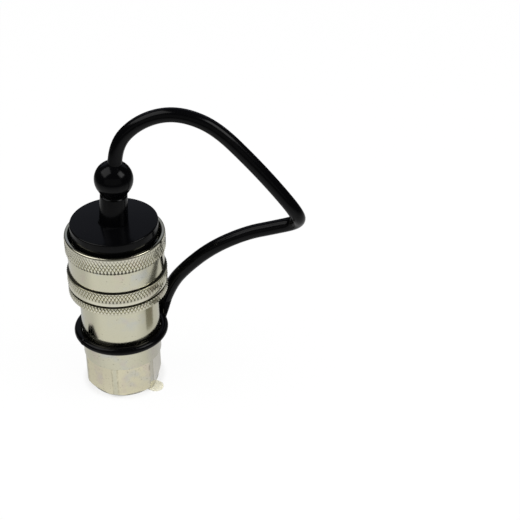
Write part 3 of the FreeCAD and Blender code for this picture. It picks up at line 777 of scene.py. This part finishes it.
ridge_face = body_shape.faces.new([body_shape.verts.new(Vector(point) * MM) for point in RIDGE])
bmesh.ops.spin(body_shape, geom=[ridge_face], cent=(0, 0, 0), axis=(0, 0, 1),
               dvec=(0, 0, THREAD_PITCH * MM / THREAD_STEPS), angle=2 * math.pi * THREAD_TURNS,
               steps=THREAD_STEPS * THREAD_TURNS)
body = make_piece("turned_body", body_shape, "coupler", "socket_body", ZINC)
print("thread:", THREAD_TURNS, "turns")

# %% [markdown]
# The pockets are drilled with a tapered cutter. Eight cones laid round the axis are one cutting shape, and
# one exact boolean takes them out of the body.

# %% Cutting and joining
def settle(piece):
    """Make what the modifiers show the piece's own mesh."""
    bpy.context.view_layer.update()
    shown = piece.evaluated_get(bpy.context.evaluated_depsgraph_get())
    mesh = bpy.data.meshes.new_from_object(shown)
    piece.modifiers.clear()
    piece.data = mesh


def combine(piece, shape, name, operation):
    """Cut a closed shape out of a piece, with DIFFERENCE, or join it on, with UNION."""
    other = mesh_object(name, shape)
    boolean = piece.modifiers.new(name, "BOOLEAN")
    boolean.operation = operation
    boolean.solver = "EXACT"
    boolean.object = other
    settle(piece)
    bpy.data.objects.remove(other)
    print(name, operation.lower(), "leaves", len(piece.data.polygons), "faces in", piece.name)


print("cutting and joining ready")

# %% Ball pockets
BALL_COUNT = 8
BALL_HEIGHT = 59.8
POCKET_START, POCKET_END, POCKET_LENGTH, POCKET_SIDES = 1.26, 3.24, 15.25, 40

pocket_shape = bmesh.new()
along_x = Matrix.Translation((POCKET_LENGTH / 2 * MM, 0, 0)) @ Matrix.Rotation(math.pi / 2, 4, "Y")
for number in range(BALL_COUNT):
    pocket_place = (Matrix.Rotation(2 * math.pi * number / BALL_COUNT, 4, "Z")
                    @ Matrix.Translation((0, 0, BALL_HEIGHT * MM)) @ along_x)
    bmesh.ops.create_cone(pocket_shape, cap_ends=True, segments=POCKET_SIDES, radius1=POCKET_START * MM,
                          radius2=POCKET_END * MM, depth=POCKET_LENGTH * MM, matrix=pocket_place)
combine(body, pocket_shape, "ball_pockets", "DIFFERENCE")

# %% [markdown]
# ## Dust plug
#
# The plug closes the socket while nothing is coupled to it. A hollow nose and a spigot go into the bore, a
# thick disc lies on the body's face, and a shank carries the ball end that the fingers pull. All of it is
# one moulding, so its edges are soft. The soft disc doesn't lie quite flat: on the strap's side it is
# lifted a little. The strap's root is a short stub that leans the way the strap goes.

# %% Nose and disc
PLUG_STEPS = 120
DISC_RADIUS, DISC_LOW = 16.6, 68.0
DISC_LIFT, LIFT_MARGIN = 0.5 * MM, 0.1

plug_shape = bmesh.new()
turn(plug_shape, [
    (7.0, 56.0, 0.3), (9.0, 56.0, 0.5), (9.0, 63.6), (10.25, 63.6, 0.5), (10.25, 69.4), (15.2, 69.4, 0.2),
    (15.2, DISC_LOW, 0.2), (DISC_RADIUS, DISC_LOW, 0.5), (DISC_RADIUS, DISC_TOP, 0.55), (0, DISC_TOP),
    (0, 65.5), (7.0, 65.5, 0.5),
], PLUG_STEPS)
for vert in plug_shape.verts:
    if vert.co.z > (DISC_LOW - LIFT_MARGIN) * MM and vert.co.x > 0:
        vert.co.z += DISC_LIFT * (vert.co.x / (DISC_RADIUS * MM)) ** 2

# %% Shank, ball and stub
BALL_ARC_STEPS = 22
BALL_RADIUS = 7.25
BALL_NECK = -math.pi / 6
STUB_ROOT, STUB_TIP, STUB_SIDES = 2.85 * MM, 2.72 * MM, 36
STUB_LENGTH = STRAP_START + 0.3 * MM


def ball_outline(first_angle, last_angle):
    """Points on the ball end's own circle, from one angle above its equator to another."""
    points = []
    for step in range(BALL_ARC_STEPS + 1):
        angle = first_angle + (last_angle - first_angle) * step / BALL_ARC_STEPS
        points.append((BALL_RADIUS * math.cos(angle), BALL_RISE + BALL_RADIUS * math.sin(angle)))
    return points


turn(plug_shape, [
    (0, -1.5), (6.0, -0.5), (5.5, 0.35, 0.4), (5.1, 11.6, 0.2), (4.6, 12.0, 0.2), (5.0, 12.5, 0.3),
    *ball_outline(BALL_NECK, math.pi / 2),
], PLUG_STEPS, place=shank_place)
stub_place = (Matrix.Translation(BALL_CENTRE + STRAP_WAY * STUB_LENGTH / 2)
              @ STRAP_WAY.to_track_quat("Z", "Y").to_matrix().to_4x4())
bmesh.ops.create_cone(plug_shape, cap_ends=True, segments=STUB_SIDES, radius1=STUB_ROOT, radius2=STUB_TIP,
                      depth=STUB_LENGTH, matrix=stub_place)
make_piece("moulded_plug", plug_shape, "plug", "dust_plug", VINYL)

# %% [markdown]
# ## Lanyard ring
#
# The ring hangs loose on the body, a little higher in front. Its section is round outside and flattened
# inside, where it lies on the metal, and a thin raised seam crosses it at the left, where its mould closed.

# %% The hoop
HOOP_HEIGHT, HOOP_RADIUS, HOOP_SECTION = 24.33, 16.84, 1.54
HOOP_TILT = math.radians(-2.15)
HOOP_SIDES, HOOP_STEPS = 28, 144
HOOP_FLATTENING = 1.25
SEAM_ANGLE = math.radians(-53)
SEAM_RADIUS, SEAM_WIDTH, SEAM_SIDES = 1.66 * MM, 0.5 * MM, 32


def hoop_outline():
    """The hoop's section, as (radius, height) points."""
    points = []
    for step in range(HOOP_SIDES):
        angle = 2 * math.pi * step / HOOP_SIDES
        out = math.cos(angle)
        if out < 0:
            out = max(HOOP_FLATTENING * out, -1)
        points.append((HOOP_RADIUS + HOOP_SECTION * out, HOOP_SECTION * math.sin(angle)))
    return points


ring_shape = bmesh.new()
hoop_place = Matrix.Translation((0, 0, HOOP_HEIGHT * MM)) @ Matrix.Rotation(HOOP_TILT, 4, "X")
turn(ring_shape, hoop_outline(), HOOP_STEPS, place=hoop_place)
seam_place = (hoop_place @ Matrix.Rotation(SEAM_ANGLE, 4, "Z") @ Matrix.Translation((0, -HOOP_RADIUS * MM, 0))
              @ Matrix.Rotation(math.pi / 2, 4, "Y"))
bmesh.ops.create_cone(ring_shape, cap_ends=True, segments=SEAM_SIDES, radius1=SEAM_RADIUS,
                      radius2=SEAM_RADIUS, depth=SEAM_WIDTH, matrix=seam_place)

# %% [markdown]
# The strap grows out of the ring in a flat flare: three ovals between the hoop and the strap's end, bridged
# like the strap's own circles. Each section below is its share of the way and its two half widths.

# %% The flare
FLARE_SECTIONS = ((0.0, 5.2, 1.5), (0.42, 3.5, 2.1), (1.0, 2.68, 2.68))
FLARE_SIDES = 32
FLARE_RISE = 0.6
FLARE_BULGE = 0.8 * MM

strap_end = STRAP_POINTS[-1]
strap_up = (STRAP_POINTS[-2] - strap_end).normalized()
outward = Vector((strap_end.x, strap_end.y, 0)).normalized()
flare_start = hoop_place @ (outward * HOOP_RADIUS * MM)
flare_way = (outward + Vector((0, 0, FLARE_RISE))).normalized()
flare_rings = []
for share, half_width, half_thick in FLARE_SECTIONS:
    way = flare_way.lerp(strap_up, share).normalized()
    middle = flare_start.lerp(strap_end, share) + outward * (4 * share * (1 - share) * FLARE_BULGE)
    _, facing = square_to(way, Vector((0, 0, 1)).cross(outward))
    oval = Matrix.Diagonal((half_width * MM, half_thick * MM, 1, 1))
    ring = bmesh.ops.create_circle(ring_shape, segments=FLARE_SIDES, radius=1.0,
                                   matrix=Matrix.Translation(middle) @ facing @ oval)
    flare_rings.append(ring["verts"])
skin_rings(ring_shape, flare_rings, FLARE_SIDES)
ring_piece = make_piece("moulded_ring", ring_shape, "lanyard", "lanyard_ring", VINYL)

# %% [markdown]
# Hoop, seam and flare are separate shapes that only overlap so far. A voxel remesh makes one skin of them,
# and smoothing gives the soft fillet that a moulding has there.

# %% One skin for the ring
RING_VOXEL = 0.22 * MM
SOFTENING, SOFTENING_ROUNDS = 0.5, 4


def one_skin(piece, voxel, rounds):
    """Melt overlapping shells into one skin and smooth it."""
    material = piece.data.materials[0]
    remesh = piece.modifiers.new("one_skin", "REMESH")
    remesh.mode = "VOXEL"
    remesh.voxel_size = voxel
    smooth = piece.modifiers.new("soften", "SMOOTH")
    smooth.factor = SOFTENING
    smooth.iterations = rounds
    settle(piece)
    piece.data.shade_smooth()
    piece.data.materials.clear()
    piece.data.materials.append(material)
    print(piece.name, "melted into", len(piece.data.polygons), "faces")


one_skin(ring_piece, RING_VOXEL, SOFTENING_ROUNDS)

# %% [markdown]
# ## Milky plastic
#
# The thread protector is moulded in thin, translucent plastic. Light goes into it and comes out again, so
# the shader scatters it under the surface. The flange's outer wall is painted grey for the shade it lies in
# under the hexagon.


# %% Milky plastic
def milky_plastic():
    finish = Finish("milky_plastic", IOR=1.5, Subsurface_Weight=0.3, Subsurface_Scale=0.001)
    finish.feed("Subsurface Radius", (1, 1, 1))
    haze = finish.noise(0.004, detail=3)
    _, _, radius = finish.from_axis()
    # painted shade: the flange's outer wall, under the hexagon, is mixed towards grey
    rim = radius.above(0.0132, 0.0134) - radius.above(0.0137, 0.0138)
    unshaded_tone = finish.mix(haze, (0.82, 0.79, 0.62, 1), (0.88, 0.85, 0.69, 1))
    finish.feed("Base Color", finish.mix(rim * 0.8, unshaded_tone, (0.22, 0.21, 0.18, 1)))
    finish.feed("Roughness", 0.28 + haze * 0.14)
    finish.bump(finish.noise(0.0006), 0.00002, 0.4)
    return finish.material


MILKY = milky_plastic()
print("made", MILKY.name)

# %% [markdown]
# ## Thread protector
#
# A cup with a flange keeps dirt out of the hose port until the coupler is fitted, and a tongue on the
# flange pulls it out. The cup is turned. The tongue is half a disc drawn out to the flange, made thick and
# softened, and a boolean makes the two one moulding.

# %% The cup
CUP_STEPS = 120
FLANGE_THICK = 0.7

cup_shape = bmesh.new()
turn(cup_shape, [
    (8.0, 0.0, 0.15), (13.6, 0.0, 0.2), (13.6, FLANGE_THICK, 0.2), (9.15, FLANGE_THICK, 0.15),
    (9.15, 9.0, 0.4), (0, 9.0), (0, 7.85), (8.0, 7.85, 0.4),
], CUP_STEPS)
protector = make_piece("pull_cap", cup_shape, "protector", "thread_protector", MILKY)

# %% The tongue
TAB_ANGLE = math.radians(-31.5)
TAB_HALF_WIDTH, TAB_REACH, TAB_ROOT = 3.0, 18.3, 3.0
TAB_SIDES = 48
TAB_ROUNDING, TAB_ROUNDING_STEPS = 0.2, 3
RIM_ANGLE = 1.0


def tab_shape():
    """The tongue as a closed shape, turned to its place."""
    shape = bmesh.new()
    disc = bmesh.ops.create_circle(shape, cap_ends=True, segments=TAB_SIDES, radius=TAB_HALF_WIDTH * MM)
    for vert in disc["verts"]:
        if vert.co.x < -0.1 * MM:
            vert.co.x -= TAB_ROOT * MM
    bmesh.ops.translate(shape, verts=shape.verts, vec=((TAB_REACH - TAB_HALF_WIDTH) * MM, 0, 0))
    raised = bmesh.ops.extrude_face_region(shape, geom=shape.faces[:])["geom"]
    bmesh.ops.translate(shape, verts=[item for item in raised if isinstance(item, bmesh.types.BMVert)],
                        vec=(0, 0, FLANGE_THICK * MM))
    bmesh.ops.recalc_face_normals(shape, faces=shape.faces)
    rim = [edge for edge in shape.edges if edge.calc_face_angle(0) > RIM_ANGLE]
    bmesh.ops.bevel(shape, geom=rim, offset=TAB_ROUNDING * MM, offset_type="OFFSET",
                    segments=TAB_ROUNDING_STEPS, profile=0.5, affect="EDGES", material=-1)
    bmesh.ops.rotate(shape, verts=shape.verts, cent=(0, 0, 0), matrix=Matrix.Rotation(TAB_ANGLE, 3, "Z"))
    return shape


combine(protector, tab_shape(), "pull_tab", "UNION")

# %% [markdown]
# ## Inner pieces
#
# With the plug out, the poppet, the seals and the balls show in the socket. Their CAD shapes are right as
# they are, so they only need their own finishes: oiled spring steel, polished balls, black seal rubber and
# a white back-up ring.


# %% Inner finishes
def drifting_finish(name, lump, detail, tones, roughness, drift, **settings):
    """A finish that drifts between two tones, in lumps of that size, and its roughness with it."""
    finish = Finish(name, **settings)
    clouds = finish.noise(lump, detail=detail)
    finish.feed("Base Color", finish.mix(clouds, *tones))
    finish.feed("Roughness", roughness + clouds * drift)
    return finish.material


SPRING_STEEL = drifting_finish(
    "spring_steel", 0.003, 3, ((0.30, 0.30, 0.30, 1), (0.44, 0.43, 0.41, 1)), 0.26, 0.16, Metallic=1.0)
BALL_STEEL = drifting_finish(
    "ball_steel", 0.002, 2, ((0.70, 0.70, 0.71, 1), (0.76, 0.76, 0.77, 1)), 0.08, 0.06, Metallic=1.0)
SEAL_RUBBER = drifting_finish(
    "seal_rubber", 0.004, 3, ((0.012, 0.012, 0.012, 1), (0.022, 0.022, 0.021, 1)), 0.42, 0.18, IOR=1.5)
SEAL_PLASTIC = drifting_finish(
    "seal_plastic", 0.003, 3, ((0.80, 0.79, 0.75, 1), (0.86, 0.85, 0.81, 1)), 0.4, 0.15, IOR=1.4)
FINISHES = {
    "zinc_plated_steel": ZINC, "spring_steel": SPRING_STEEL, "ball_steel": BALL_STEEL,
    "seal_rubber": SEAL_RUBBER, "seal_plastic": SEAL_PLASTIC, "black_vinyl": VINYL, "milky_plastic": MILKY,
}
for part in frame["record"]["subparts"]:
    for slot in frame["nodes"][part["node"]].material_slots:
        slot.material = FINISHES[part["material_slot"]]

# %% [markdown]
# ## Springs
#
# Two coil springs stand on fixed shoulders and push the sleeve and the poppet up. Each is a stiff copy of
# its CAD spring riding on the coupler's body, so it would poke through what it pushes when that slides
# down. Blending between two bodies would squeeze the middle coils most.


def coil_spring(name, node):
    """A copy of a CAD spring, with a mesh of its own, riding on the coupler's body."""
    coil = bmesh.new()
    coil.from_mesh(frame["nodes"][node].data)
    coil.transform(frame["nodes"][node].matrix_world)
    spring = make_piece(name, coil, "coupler", node, SPRING_STEEL)
    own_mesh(spring)


coil_spring("sleeve_coil", "sleeve_spring")
coil_spring("poppet_coil", "poppet_spring")
